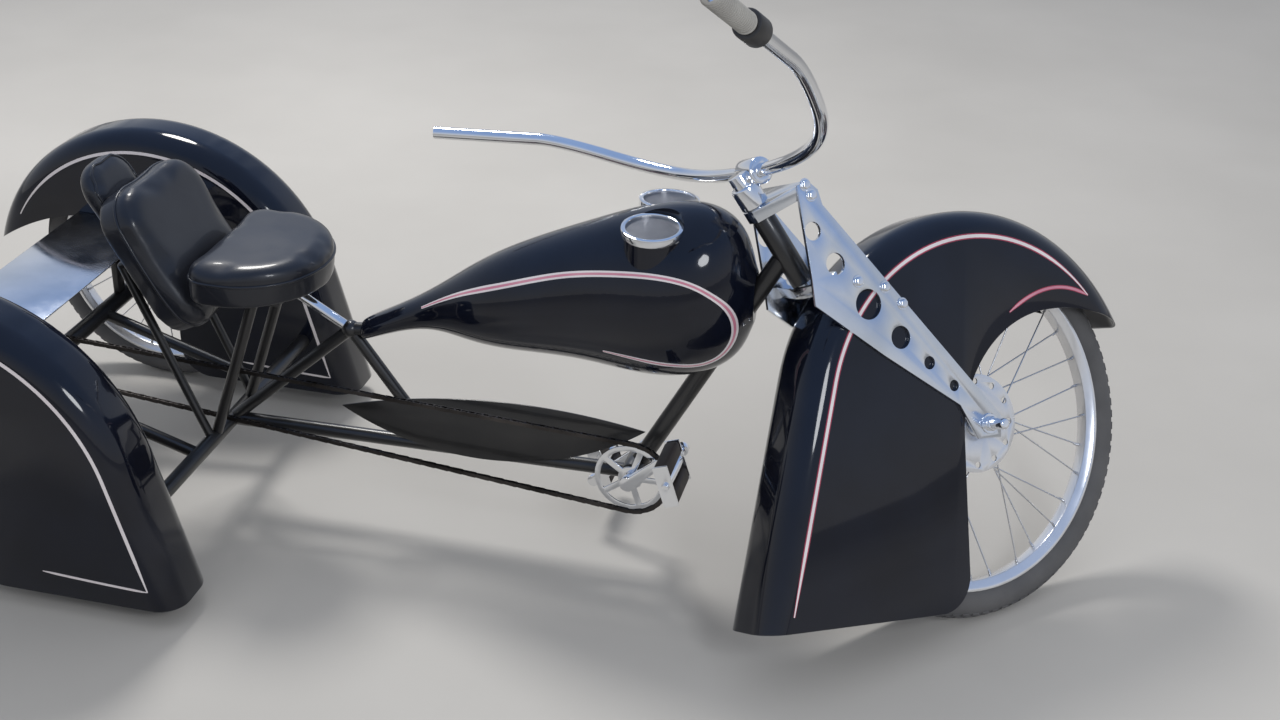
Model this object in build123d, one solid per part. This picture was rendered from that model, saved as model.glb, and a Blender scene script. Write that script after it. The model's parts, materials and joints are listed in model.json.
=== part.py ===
from build123d import *
import os
from math import acos, atan2, cos, hypot, pi, radians, sin, sqrt

os.makedirs("parts", exist_ok=True)

# A low custom tricycle: skirted front wheel in raked drilled fork plates, teardrop tank, low seat
# between two skirted rear wheels. Laid out in millimetres with X forward, Y left, Z up, the rear
# axle above x = 0 and the ground at z = 0. The steered pieces are laid out straight ahead and then
# turned to the angle at which the machine stands.

# Driving dimensions
wheelbase = 1688
rearTrack = 775
steerAngle = 50.9           # how far the front wheel stands turned to the left
rakeAngle = 34.4            # steering axis, back from upright
forkOffset = 122            # front axle ahead of the steering axis
runningGap = 0.05           # a shaft in its bore, radial
seatGap = 0.3               # between pieces that only lie together
over = 1                    # by how much a cutting tool runs past what it cuts

# Wheels
wheelTable = {
    "front": dict(radius=333, tyreWidth=54, rimDepth=18, rimWidth=40, hubRadius=22, flangeRadius=45,
                  hubWidth=84, axleRadius=7, spokes=32, lacing=54),
    "rear": dict(radius=254, tyreWidth=50, rimDepth=16, rimWidth=38, hubRadius=19, flangeRadius=32,
                 hubWidth=84, axleRadius=10, spokes=28, lacing=58),
}
frontWheel, rearWheel = wheelTable["front"], wheelTable["rear"]
tyreSink = 18               # tyre section that the rim takes in, from its widest point
rimLip = 6
rimRootShare = 0.28         # half width at the rim's inner edge, as a share of its width
flangeThick = 4
flangeInset = 14            # flange's middle, from the hub's end
spokeRoot = 4               # spoke's seat, inside the flange's edge
spokeSpread = 6             # spoke's seat in the rim, from the wheel's middle
spokeRadius = 1.3
spokeLean = 2.6             # sideways step between crossing spokes at the flange

# Fenders, measured from the middle of the crown's arc, with the open arch towards +x
fenderHalfWidth = 66
fenderWall = 3
crownRound = 46
skirtRound = 62
frontFender = dict(radius=frontWheel["radius"] + 29, tip=25, tailX=-457, tailZ=-311, skirtX=-48,
                   archX=152, archZ=frontWheel["radius"] - 143)
rearFender = dict(radius=rearWheel["radius"] + 111, tip=14, tailX=-422, tailZ=-152, skirtX=-46,
                  archX=160, archZ=rearWheel["radius"] - 78)
archBow = (0.42, 0.78)       # the skirt's curve into the arch, as shares of the arch's corner
brimBow = 0.53              # middle of the brim, as a share of its two ends added up
rearCrownX = 12
rearCrownZ = rearWheel["radius"] - 65

# Fork plates and crowns. Along is up the steering axis, ahead is square to it
plateInner = fenderHalfWidth + seatGap
plateThickness = 6
plateEnd = 24
lowerCrownAlong = frontWheel["radius"] + 39
upperCrownAlong = frontWheel["radius"] + 188
plateTop = [(14, 41), (10, 62), (-13, 70), (-37, 63)]       # along from the upper crown, ahead
plateHeel = [(-10, -45), (25, -26)]                         # along from the lower crown, ahead
plateFront = [(-117, 157), (plateEnd, plateEnd * 0.6)]      # x and z from the front axle
plateLower = [(-plateEnd, -plateEnd), (-60, 34), (-212, 122)]
plateHoles = [              # share of the way from the axle to the upper crown, ahead of it, radius
    (0.880, 8, 15), (0.757, -3, 18), (0.589, -10, 25), (0.434, -9, 19), (0.301, -3, 11), (0.183, 1, 9.5)]
crownThickness = 20
crownNose = (20, 13)        # end behind the steerer: how far back, half width
crownEnds = {"lower": (-10, 24), "upper": (42, 62)}
steererRadius = 14.2
headWall = 4.8
headGap = 1.0
axleStub = 22               # front axle past the plates

# Handlebar, back, up and out from the upper crown's middle
barRadius = 11.1
barSide = [(8, 64, 112), (37, 92, 252), (166, 159, 386), (340, 186, 522)]
barBend = 62
stemNeck = 17
stemArm = 13
stemClamp = 19
stemHalf = 26
gripLength = 128
rightReach = 140            # the right arm runs on by this, under its grip
gripRadius = 16
controlLength = 44
controlRadius = 21
controlGap = 2

# Frame
bracketX, bracketZ = wheelbase - 586, 180
bracketRadius = 21
bracketHalf = 35
axleBore = 9
downRadius = 16
downAbove = 8               # down tube's meeting with the head, below the head's middle
lowerRadius = 13
lowerDrop = 14              # lower tube's end below the bottom bracket's middle
strutRadius = 11
crossRadius = 14
lugRadius = 16
tailNode = (wheelbase - 1113, 0, 372)
braceX = wheelbase - 958
lowerZ = 152
crossX = 330
railY = 140
beamRadius = 16
beamHalf = 300
spindleStub = 12
axleZ = rearWheel["radius"]

# Tank sections: x from the head, top and bottom from its height, half width
tankSections = [
    (-735, -237, -265, 13), (-655, -187, -239, 34), (-535, -103, -235, 64), (-395, -25, -239, 94),
    (-255, 35, -245, 116), (-155, 59, -243, 120), (-90, 45, -219, 92), (-53, -2, -177, 46),
    (-39, -42, -137, 22)]
lugReach = 8
capBack, capY, capBelow = 204, 61, -34      # from the head, with below negative where it is higher
capRadius = 51
capRim = 8
capDepth = 14
capSink = 8
capTilt = 4
bossRadius = 46
bossDrop = 60

# Cranks, chain and pedals
crankLength = 127
crankAngle = 42
armY = 58
armThick = 12
armRootRadius, armEndRadius = 14, 11
armHalf = 9
ringRadius = 64
ringThick = 3
ringBand = 10
ringBoss = 22
ringArms = 5
ringArmWidth = 11
ringY = -46
sprocketRadius = 40
sprocketThick = 4
chainThick = 7
chainWidth = 6
chainGap = 0.5
pinRadius = 6
pinStub = 4
pedalInner = 100
pedalWidth = 92
pedalLength = 76
pedalThick = 26
pedalPlate = 3
pedalBlock = 26
pedalSleeve = 10
pedalTurn = 72

# Seat
cushionRearX, cushionNoseX, cushionTop, cushionThick = 328, 545, 525, 74
cushionHalf = 152
cushionSide = 92            # straight part of its sides
cushionRound = 20
cushionCorner = 40
padRound = 18
backLean = 30
backWidth, backHeight, backThick = 270, 280, 76
backX, backZ = 255, 495
backCorner = 68
upperWidth, upperHeight, upperThick, upperRise = 140, 220, 40, 88
upperCorner = 55
panThick, panHalf = 8, 90
panRear, panFront = 14, 62  # inside the cushion's ends
postRadius = 10
postY = 70
postLean = 100
seatStrutRadius = 9
seatStrutBack = 76          # its end behind the cushion's nose
stayRadius = 8
stayY = 86
stayRise = 20
stayBack = 25

# Deck and panels
sheet = 3
leafRear = (wheelbase - 1132, 222)
leafFront = (bracketX + 18, 258)
leafHighZ, leafLowZ = 276, 158
leafHighShare, leafLowShare = 0.55, 0.58
deckFrontX, deckRearX, deckZ = 48, -138, 375
deckPostY, deckPostHalf, deckPostDepth = 210, 12, 6

nodes = {}


def tube(a, b, radius, bore=0):
    """A round bar or tube from a to b."""
    along = Vector(*b) - Vector(*a)
    place = Plane(origin=a, z_dir=along)
    body = Solid.make_cylinder(radius, along.length, place)
    if bore:
        body -= Solid.make_cylinder(bore, along.length, place)
    return body


def around(y0, y1, radius, x, z, bore=0):
    """A round bar along Y at x, z."""
    return tube((x, y0, z), (x, y1, z), radius, bore)


def block(x0, x1, y0, y1, z0, z1):
    return Pos((x0 + x1) / 2, (y0 + y1) / 2, (z0 + z1) / 2) * Box(x1 - x0, y1 - y0, z1 - z0)


def flat(points, y0, y1):
    """A closed outline in x and z, as a plate between two y planes."""
    face = make_face(Polyline([(x, y0, z) for x, z in points], close=True))
    return extrude(face, amount=y1 - y0, dir=(0, 1, 0))


def mirrored(shape):
    return shape.mirror(Plane.XZ)


def pair(make):
    """The right and left copies of something made for one side, -1 or 1."""
    return Compound([make(s) for s in (-1, 1)])


# Steering geometry
rake = radians(rakeAngle)
lean = sin(rake) * sin(radians(steerAngle))
tyreHalf = frontWheel["tyreWidth"] / 2
# the foot of the steering axis, at a height that rests the turned tyre on the ground
turnedAxleZ = (frontWheel["radius"] - tyreHalf) * sqrt(1 - lean ** 2) + tyreHalf
footZ = turnedAxleZ - forkOffset * sin(rake) * cos(radians(steerAngle))
axisFoot = Vector(wheelbase - forkOffset * cos(rake), 0, footZ)
frontAxleZ = footZ + forkOffset * sin(rake)
axisUp = Vector(-sin(rake), 0, cos(rake))
axisAhead = Vector(cos(rake), 0, sin(rake))
steerAxis = Axis(axisFoot, axisUp)


def onAxis(along, ahead=0):
    return axisFoot + axisUp * along + axisAhead * ahead


def turned(shape):
    """From straight ahead to the angle at which the machine stands."""
    return shape.rotate(steerAxis, steerAngle)


# Wheels
def wheelPieces(w, x, y, z):
    """Tyre, rim, hub and spokes on an axis along Y."""
    half = w["tyreWidth"] / 2
    centreR = w["radius"] - half
    seatR = centreR - tyreSink
    rimIn = seatR - w["rimDepth"]
    axis = Axis((x, y, z), (0, 1, 0))
    side = Plane(origin=(x, y, z), x_dir=(1, 0, 0), z_dir=(0, 0, 1))
    tyre = revolve(side * (Pos(centreR, 0) * Circle(half) - Pos(seatR / 2, 0) * Rectangle(seatR, 3 * half)),
                   axis, 360)
    edge, root = w["rimWidth"] / 2, w["rimWidth"] * rimRootShare
    rim = revolve(side * make_face(Polyline([
        (rimIn, -root), (seatR - rimLip, -edge), (seatR, -edge), (seatR, edge), (seatR - rimLip, edge),
        (rimIn, root)], close=True)), axis, 360)
    hubHalf = w["hubWidth"] / 2
    flangeAt = hubHalf - flangeInset
    hub = around(y - hubHalf, y + hubHalf, w["hubRadius"], x, z)
    for s in (-1, 1):
        mid = y + s * flangeAt
        hub += around(mid - flangeThick / 2, mid + flangeThick / 2, w["flangeRadius"], x, z)
    hub -= around(y - hubHalf - over, y + hubHalf + over, w["axleRadius"] + runningGap, x, z)
    spokes = []
    rootR = w["flangeRadius"] - spokeRoot
    for i in range(w["spokes"]):
        s = 1 if i % 2 else -1
        twist = 1 if (i // 2) % 2 else -1
        a = 2 * pi * i / w["spokes"]
        b = a + radians(w["lacing"]) * twist
        root = (x + rootR * cos(b), y + s * (flangeAt - twist * spokeLean), z + rootR * sin(b))
        end = (x + (rimIn + over) * cos(a), y + s * spokeSpread, z + (rimIn + over) * sin(a))
        spokes.append(tube(root, end, spokeRadius) - hub - rim)
    return {"tyre": tyre, "rim": rim, "hub": hub, "spokes": Compound(spokes)}


def fenderShell(f):
    """A skirted fender about its crown's centre, arch towards +x."""
    r, tailX, tailZ, x0 = f["radius"], f["tailX"], f["tailZ"], f["skirtX"]
    leave = pi + atan2(-tailZ, -tailX) - acos(r / hypot(tailX, tailZ))
    tip = radians(f["tip"])
    slope = Vector(-sin(leave), cos(leave))
    tipX, tipZ = r * cos(tip), r * sin(tip)

    def solid(inset, past):
        """The closed form, set in by the wall, with its open sides carried past the outer one."""
        q, halfWidth = r - inset, fenderHalfWidth - inset
        begin = tip - past / r
        start, end = (q * cos(begin), q * sin(begin)), (q * cos(leave), q * sin(leave))
        low = tailZ - past
        run = (low - end[1]) / slope.Y
        tail = (end[0] + slope.X * run, low)
        toe = (x0 + skirtRound / 2, low)
        outline = ThreePointArc(start, (0, q), end) + Line(end, tail) + Line(tail, toe) + Line(toe, start)
        face = Plane(origin=(0, halfWidth, 0), x_dir=(1, 0, 0), z_dir=(0, -1, 0)) * make_face(outline)
        body = extrude(face, amount=2 * halfWidth)
        outer = [e for e in body.edges() if abs(abs(e.center().Y) - halfWidth) < over
                 and e.center().Z > low + over and hypot(e.center().X, e.center().Z) > r / 2]
        return fillet(outer, crownRound - inset)

    shell = solid(0, 0) - solid(fenderWall, 4 * fenderHalfWidth)
    # the opening ahead of the skirt and under the arch
    ax, az = f["archX"], f["archZ"]
    opening = [
        Line((x0 - skirtRound, tailZ - over), (x0 - skirtRound, tailZ)),
        RadiusArc((x0 - skirtRound, tailZ), (x0, tailZ + skirtRound), -skirtRound),
        Line((x0, tailZ + skirtRound), (x0, 0)),
        ThreePointArc((x0, 0), (x0 + archBow[0] * (ax - x0), archBow[1] * az), (ax, az)),
        ThreePointArc((ax, az), (brimBow * (ax + tipX), brimBow * (az + tipZ)), (tipX, tipZ)),
        Line((tipX, tipZ), (tipX + r, tipZ)),
        Line((tipX + r, tipZ), (tipX + r, tailZ - over)),
        Line((tipX + r, tailZ - over), (x0 - skirtRound, tailZ - over)),
    ]
    reach = 2 * fenderHalfWidth
    cutter = Plane(origin=(0, reach, 0), x_dir=(1, 0, 0), z_dir=(0, -1, 0)) * make_face(Wire(opening))
    return shell - extrude(cutter, amount=2 * reach)


# Head and bottom bracket
crownHalf = crownThickness / 2
headLow = lowerCrownAlong + crownHalf + headGap
headHigh = upperCrownAlong - crownHalf - headGap
headMiddle = (headLow + headHigh) / 2
headRadius = steererRadius + runningGap + headWall
headOuter = tube(onAxis(headLow), onAxis(headHigh), headRadius)
nodes["head_tube"] = headOuter - tube(onAxis(headLow - over), onAxis(headHigh + over),
                                      steererRadius + runningGap)
bracketOuter = around(-bracketHalf, bracketHalf, bracketRadius, bracketX, bracketZ)
nodes["bottom_bracket"] = bracketOuter - around(-bracketHalf - over, bracketHalf + over, axleBore,
                                                bracketX, bracketZ)
down = tube((bracketX, 0, bracketZ), onAxis(headMiddle - downAbove), downRadius)
nodes["down_tube"] = down - headOuter - bracketOuter

# Tank, its tail lug and its caps
head = onAxis(headMiddle)
sections = []
for x, top, bottom, halfWidth in tankSections:
    place = Plane(origin=(head.X + x, 0, head.Z + (top + bottom) / 2), x_dir=(0, 1, 0), z_dir=(1, 0, 0))
    sections.append(place * Ellipse(halfWidth, (top - bottom) / 2))
tank = loft(sections)
capRings, capFaces = [], []
for s in (-1, 1):
    centre = Vector(head.X - capBack, s * capY, head.Z - capBelow)
    normal = Vector(0, s * sin(radians(capTilt)), cos(radians(capTilt)))

    def disc(radius, low, high):
        return Solid.make_cylinder(radius, high - low, Plane(origin=centre + normal * low, z_dir=normal))

    tank += disc(bossRadius, -bossDrop, 0)
    tank -= disc(capRadius, -capSink, bossDrop)
    capRings.append(disc(capRadius, -capSink, capDepth - capSink)
                    - disc(capRadius - capRim, -capSink - over, capDepth))
    capFaces.append(disc(capRadius - capRim, -capSink, 0))
nodes["tank"] = tank - down
nodes["cap_rings"] = Compound(capRings)
nodes["cap_faces"] = Compound(capFaces)

tailX, tailTop, tailLow, tailHalf = tankSections[0]
tankTail = (head.X + tailX, 0, head.Z + (tailTop + tailLow) / 2)
lug = Pos(*tailNode) * Sphere(lugRadius)
lug += tube(tailNode, (tankTail[0] + lugReach, 0, tankTail[2]), tailHalf - over)
nodes["tail_lug"] = lug - block(tankTail[0], tankTail[0] + 2 * lugRadius, -lugRadius, lugRadius,
                                tankTail[2] - lugRadius, tankTail[2] + lugRadius)

# Rear axle and lower frame
beam = around(-beamHalf, beamHalf, beamRadius, 0, axleZ)
spindleEnd = rearTrack / 2 + rearWheel["hubWidth"] / 2 + spindleStub
nodes["axle_beam"] = beam + around(-spindleEnd, spindleEnd, rearWheel["axleRadius"], 0, axleZ)
innerWall = rearTrack / 2 - fenderHalfWidth
cross = around(-innerWall, innerWall, crossRadius, crossX, lowerZ)
nodes["cross_tube"] = cross
lowerFront = bracketZ - lowerDrop
lower = tube((crossX, 0, lowerZ), (bracketX, 0, lowerFront), lowerRadius)
nodes["lower_tube"] = lower - cross - bracketOuter
tail = tube(tailNode, (crossX, 0, lowerZ), strutRadius)
nodes["tail_tube"] = tail - cross - nodes["tail_lug"] - lower
braceZ = lowerZ + (lowerFront - lowerZ) * (braceX - crossX) / (bracketX - crossX)
nodes["frame_strut"] = tube(tailNode, (braceX, 0, braceZ), strutRadius) - lower - nodes["tail_lug"] - tail
nodes["side_rails"] = pair(lambda s: tube((crossX, s * railY, lowerZ), (0, s * railY, axleZ), strutRadius)
                           - cross - beam)

# Leaf-shaped panel beside the tubes, above the lower one
leafLength = leafFront[0] - leafRear[0]
leafTop = ThreePointArc(leafRear, (leafRear[0] + leafHighShare * leafLength, leafHighZ), leafFront)
leafLow = ThreePointArc(leafFront, (leafRear[0] + leafLowShare * leafLength, leafLowZ), leafRear)
leafPlane = Plane(origin=(0, -lowerRadius - seatGap, 0), x_dir=(1, 0, 0), z_dir=(0, -1, 0))
nodes["leaf_panel"] = extrude(leafPlane * make_face(Wire([leafTop, leafLow])), amount=sheet)

# Deck on two posts
nodes["rear_deck"] = block(deckRearX, deckFrontX, -innerWall, innerWall, deckZ - sheet, deckZ)
nodes["deck_posts"] = pair(lambda s: block(
    -deckPostDepth, deckPostDepth, s * deckPostY - deckPostHalf, s * deckPostY + deckPostHalf,
    axleZ, deckZ - sheet) - beam)

# Rear fenders, tail forwards
shell = fenderShell(rearFender).mirror(Plane.YZ)
for name, s in (("left", 1), ("right", -1)):
    nodes["rear_fender_" + name] = Pos(rearCrownX, s * rearTrack / 2, rearCrownZ) * shell

# Seat
sideX = cushionRearX + cushionSide
plan = Line((cushionRearX, cushionHalf), (cushionRearX, -cushionHalf))
plan += Line((cushionRearX, -cushionHalf), (sideX, -cushionHalf))
plan += ThreePointArc((sideX, -cushionHalf), (cushionNoseX, 0), (sideX, cushionHalf))
plan += Line((sideX, cushionHalf), (cushionRearX, cushionHalf))
cushion = extrude(Pos(0, 0, cushionTop - cushionThick) * make_face(plan), amount=cushionThick)
rearEdges = cushion.edges().filter_by(Axis.Z).group_by(Axis.X)[0]
cushion = fillet(rearEdges, cushionCorner)
nodes["seat_cushion"] = fillet(cushion.edges().group_by(Axis.Z)[-1], cushionRound)
backPlace = Pos(backX, 0, backZ) * Rot(0, -backLean, 0)


def padBlock(x, z, thick, width, height, corner, rounds):
    """A back pad, from the middle of the main one: x forward, z up its face."""
    pad = Box(thick, width, height)
    pad = fillet(pad.edges().filter_by(Axis.X), corner)
    for face in rounds:
        pad = fillet(pad.edges().group_by(Axis.X)[face], padRound)
    return backPlace * Pos(x, 0, z) * pad


nodes["back_pad"] = padBlock(0, 0, backThick, backWidth, backHeight, backCorner, (-1,))
upperX = -(backThick + upperThick) / 2 - seatGap
nodes["upper_pad"] = padBlock(upperX, upperRise, upperThick, upperWidth, upperHeight, upperCorner, (0,))
panTop = cushionTop - cushionThick - seatGap
panLow = panTop - panThick
pan = block(cushionRearX + panRear, cushionNoseX - panFront, -panHalf, panHalf, panLow, panTop)
nodes["seat_pan"] = pan
nodes["seat_posts"] = pair(lambda s: tube((crossX, s * postY, lowerZ), (crossX + postLean, s * postY, panTop),
                                          postRadius) - cross - pan
                           - block(crossX, cushionNoseX, -cushionHalf, cushionHalf, panTop - over, cushionTop))
strutHigh = (cushionNoseX - seatStrutBack, 0, panLow - seatStrutRadius)
nodes["seat_strut"] = tube(strutHigh, tailNode, seatStrutRadius) - nodes["tail_lug"] - pan
# Two stays from the backrest down to the cross tube
stayTop = backPlace * Pos(-backThick / 2 - seatGap, 0, stayRise)
stayTurn = backPlace * Pos(-backThick / 2 - seatGap - stayBack, 0, stayRise)


def stay(s):
    top, turn = stayTop.position + Vector(0, s * stayY), stayTurn.position + Vector(0, s * stayY)
    body = tube(top, turn, stayRadius) + Pos(*turn) * Sphere(stayRadius)
    return body + tube(turn, (crossX, s * stayY, lowerZ), stayRadius) - cross


nodes["back_frame"] = pair(stay)


def loopFace(inset):
    """The chain's line about its two wheels, set out by inset."""
    discs = Pos(bracketX, bracketZ) * Circle(ringRadius + inset) + Pos(0, axleZ) * Circle(sprocketRadius + inset)
    return make_hull(discs.edges())


# Chain loop and rear sprocket
chainPlane = Plane(origin=(0, ringY + chainWidth / 2, 0), x_dir=(1, 0, 0), z_dir=(0, -1, 0))
nodes["chain"] = extrude(chainPlane * (loopFace(chainGap + chainThick) - loopFace(chainGap)), amount=chainWidth)
nodes["rear_sprocket"] = around(ringY - sprocketThick / 2, ringY + sprocketThick / 2, sprocketRadius, 0, axleZ,
                                beamRadius)

# Fork plates, crowns and steerer
steered = {}
outline = [onAxis(upperCrownAlong + a, b) for a, b in plateTop]
outline += [Vector(wheelbase + x, 0, frontAxleZ + z) for x, z in plateFront + [(plateEnd, -plateEnd)] + plateLower]
outline += [onAxis(lowerCrownAlong + a, b) for a, b in plateHeel]
plateOuter = plateInner + plateThickness
plate = flat([(p.X, p.Z) for p in outline], plateInner, plateOuter)
axle = Vector(wheelbase, 0, frontAxleZ)
rise = onAxis(upperCrownAlong) - axle
across = Vector(rise.Z, 0, -rise.X).normalized()
for share, ahead, radius in plateHoles:
    p = axle + rise * share + across * ahead
    plate -= around(plateInner - over, plateOuter + over, radius, p.X, p.Z)
plate -= around(plateInner - over, plateOuter + over, frontWheel["axleRadius"], wheelbase, frontAxleZ)
steered["fork_plate_left"] = plate
steered["fork_plate_right"] = mirrored(plate)
axleEnd = plateOuter + axleStub
steered["front_axle"] = around(-axleEnd, axleEnd, frontWheel["axleRadius"], wheelbase, frontAxleZ)
steererTop = upperCrownAlong + crownHalf
steerer = tube(onAxis(lowerCrownAlong - crownHalf), onAxis(steererTop), steererRadius)
steered["steerer"] = steerer
for name, middleAlong in (("lower", lowerCrownAlong), ("upper", upperCrownAlong)):
    plateFrom, plateTo = crownEnds[name]
    back, half = crownNose
    shape = Polyline([(plateTo, plateInner), (plateFrom, plateInner), (-back, half), (-back, -half),
                      (plateFrom, -plateInner), (plateTo, -plateInner)], close=True)
    place = Plane(origin=onAxis(middleAlong - crownHalf), x_dir=axisAhead, z_dir=axisUp)
    steered[name + "_crown"] = extrude(place * make_face(shape), amount=crownThickness) - steerer

# Handlebar and stem
crownTop = onAxis(upperCrownAlong)


def barPoint(back, up, side):
    return Vector(crownTop.X - back, side, crownTop.Z + up)


barPoints = [barPoint(back, up, -side) for back, up, side in reversed(barSide)]
barPoints += [barPoint(*b) for b in barSide]
gripAlong = (barPoints[0] - barPoints[1]).normalized()
barPoints[0] += gripAlong * rightReach
barPath = FilletPolyline(barPoints, radius=barBend)
bar = sweep(Plane(origin=barPath @ 0, z_dir=barPath % 0) * Circle(barRadius), path=barPath)
steered["handlebar"] = bar
barCentre = barPoint(*barSide[0][:2], 0)
stemTop = (barCentre - axisFoot).dot(axisUp)
stem = tube(onAxis(steererTop), onAxis(stemTop + stemArm), stemNeck) + tube(onAxis(stemTop), barCentre, stemArm)
steered["stem"] = stem + around(-stemHalf, stemHalf, stemClamp, barCentre.X, barCentre.Z) - bar
gripStart = barPoints[0] - gripAlong * gripLength
steered["right_grip"] = tube(gripStart, barPoints[0], gripRadius, barRadius)
controlEnd = gripStart - gripAlong * controlGap
steered["control_block"] = tube(controlEnd - gripAlong * controlLength, controlEnd, controlRadius, barRadius)

steered["front_fender"] = Pos(wheelbase, 0, frontAxleZ) * fenderShell(frontFender)
for name, shape in wheelPieces(frontWheel, wheelbase, 0, frontAxleZ).items():
    steered["front_" + name] = shape
for name, shape in steered.items():
    nodes[name] = turned(shape)
for side, s in (("left", 1), ("right", -1)):
    for name, shape in wheelPieces(rearWheel, 0, s * rearTrack / 2, axleZ).items():
        nodes["rear_" + name + "_" + side] = shape

# Cranks, chainring and pedals
crankEnd = armY + armThick
crank = around(-crankEnd, crankEnd, axleBore - runningGap, bracketX, bracketZ)
ring = around(ringY - ringThick / 2, ringY + ringThick / 2, ringRadius, bracketX, bracketZ)
ring -= around(ringY - ringThick, ringY + ringThick, ringRadius - ringBand, bracketX, bracketZ)
ring += around(ringY - ringThick / 2, ringY + ringThick / 2, ringBoss, bracketX, bracketZ)
arm = block(0, ringRadius - over, ringY - ringThick / 2, ringY + ringThick / 2, -ringArmWidth / 2,
            ringArmWidth / 2)
for k in range(ringArms):
    ring += Pos(bracketX, 0, bracketZ) * Rot(0, 360 / ringArms * k, 0) * arm
crank += ring
crankPins = {}
for name, s in (("right", -1), ("left", 1)):
    angle = radians(crankAngle if s < 0 else crankAngle + 180)
    dx, dz = cos(angle), sin(angle)
    pin = (bracketX + crankLength * dx, bracketZ + crankLength * dz)
    crankPins[name] = pin
    y0, y1 = sorted((s * armY, s * crankEnd))
    crank += around(y0, y1, armRootRadius, bracketX, bracketZ) + around(y0, y1, armEndRadius, *pin)
    crank += flat([(bracketX + a * dx - b * dz, bracketZ + a * dz + b * dx)
                   for a, b in ((0, armHalf), (crankLength, armHalf), (crankLength, -armHalf), (0, -armHalf))],
                  y0, y1)
    p0, p1 = sorted((s * armY, s * (pedalInner + pedalWidth + pinStub)))
    crank += around(p0, p1, pinRadius, *pin)
nodes["crank_set"] = crank
for name, s in (("left", 1), ("right", -1)):
    x, z = crankPins[name]
    half, thick = pedalLength / 2, pedalThick / 2
    cage = around(0, pedalWidth, pedalSleeve, 0, 0)
    for y in (0, pedalWidth - pedalPlate):
        cage += block(-half, half, y, y + pedalPlate, -thick, thick)
    cage -= around(-over, pedalWidth + over, pinRadius + runningGap, 0, 0)
    rubber = Compound([block(min(e * half, e * (half - pedalBlock)), max(e * half, e * (half - pedalBlock)),
                             pedalPlate, pedalWidth - pedalPlate, -thick, thick) for e in (-1, 1)])
    y = pedalInner if s > 0 else -pedalInner - pedalWidth
    place = Pos(x, y, z) * Rot(0, pedalTurn, 0)
    nodes["pedal_" + name] = place * cage
    nodes["pedal_rubbers_" + name] = place * rubber

# The origin is under the middle of the whole machine
boxes = [s.bounding_box() for s in nodes.values()]
low = [min(tuple(b.min)[i] for b in boxes) for i in range(3)]
high = [max(tuple(b.max)[i] for b in boxes) for i in range(3)]
middle = Vector((low[0] + high[0]) / 2, (low[1] + high[1]) / 2, low[2])
for name, shape in nodes.items():
    export_step(Pos(*(-middle)) * shape, "parts/" + name + ".step")
print("nodes", len(nodes), "low", low, "high", high)
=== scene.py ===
import bpy
import bmesh
import json
import math
from mathutils import Matrix, Vector


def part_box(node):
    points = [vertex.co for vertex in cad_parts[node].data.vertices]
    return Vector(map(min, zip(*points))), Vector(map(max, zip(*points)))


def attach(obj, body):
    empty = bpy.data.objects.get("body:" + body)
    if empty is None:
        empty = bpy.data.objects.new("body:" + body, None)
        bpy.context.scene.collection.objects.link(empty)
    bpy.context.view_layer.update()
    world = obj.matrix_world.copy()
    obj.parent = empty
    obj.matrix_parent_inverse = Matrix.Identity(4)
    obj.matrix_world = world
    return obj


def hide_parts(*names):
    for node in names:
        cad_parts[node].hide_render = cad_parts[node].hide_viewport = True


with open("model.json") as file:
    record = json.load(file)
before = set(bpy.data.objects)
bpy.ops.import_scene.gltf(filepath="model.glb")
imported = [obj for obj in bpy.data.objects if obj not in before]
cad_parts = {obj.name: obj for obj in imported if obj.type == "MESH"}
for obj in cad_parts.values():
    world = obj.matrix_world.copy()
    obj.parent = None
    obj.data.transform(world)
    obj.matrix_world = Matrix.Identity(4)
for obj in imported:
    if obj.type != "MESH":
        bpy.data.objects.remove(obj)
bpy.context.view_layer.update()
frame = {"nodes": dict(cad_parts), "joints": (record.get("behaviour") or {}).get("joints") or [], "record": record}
scene = bpy.context.scene
nodes = frame["nodes"]
record = frame["record"]
joints = {j["name"]: j for j in frame["joints"]}
bodyOf = {n: b for b, names in record["behaviour"]["bodies"].items() for n in names}
slotOf = {s["node"]: s["material_slot"] for s in record["subparts"]}

# Places, from the rear axle's middle on the ground, in millimetres
rearLeft = Vector(joints["rear_wheel_left_spin"]["pos_m"])
rearRight = Vector(joints["rear_wheel_right_spin"]["pos_m"])
rearMid = (rearLeft + rearRight) / 2
origin = Vector((rearMid.x, rearMid.y, 0))
steering = joints["steering"]
steerAt, steerAxis = Vector(steering["pos_m"]), Vector(steering["axis"])
steerTurn = math.radians(-sum(steering["range_deg"]) / 2)     # it stands turned this far to the left
steerSpin = (Matrix.Translation(steerAt) @ Matrix.Rotation(steerTurn, 4, steerAxis)
             @ Matrix.Translation(-steerAt))


def place(x, y, z):
    return origin + Vector((x, y, z)) / 1000


def wheelPlace(joint, turned):
    # The matrix from a wheel's own metres, X forward and Y along its axle, to the frame
    spin = Matrix.Rotation(steerTurn, 4, steerAxis) if turned else Matrix.Identity(4)
    return Matrix.Translation(Vector(joints[joint]["pos_m"])) @ spin


frontPlace = wheelPlace("front_wheel_spin", True)
frontCentre = steerSpin.inverted() @ Vector(joints["front_wheel_spin"]["pos_m"])

# Camera, in millimetres and radians
cameraSet = {"place": (1716, -2619, 1817), "yaw": -0.230, "pitch": 0.488, "roll": 0.028, "lens": 50.14}


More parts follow.
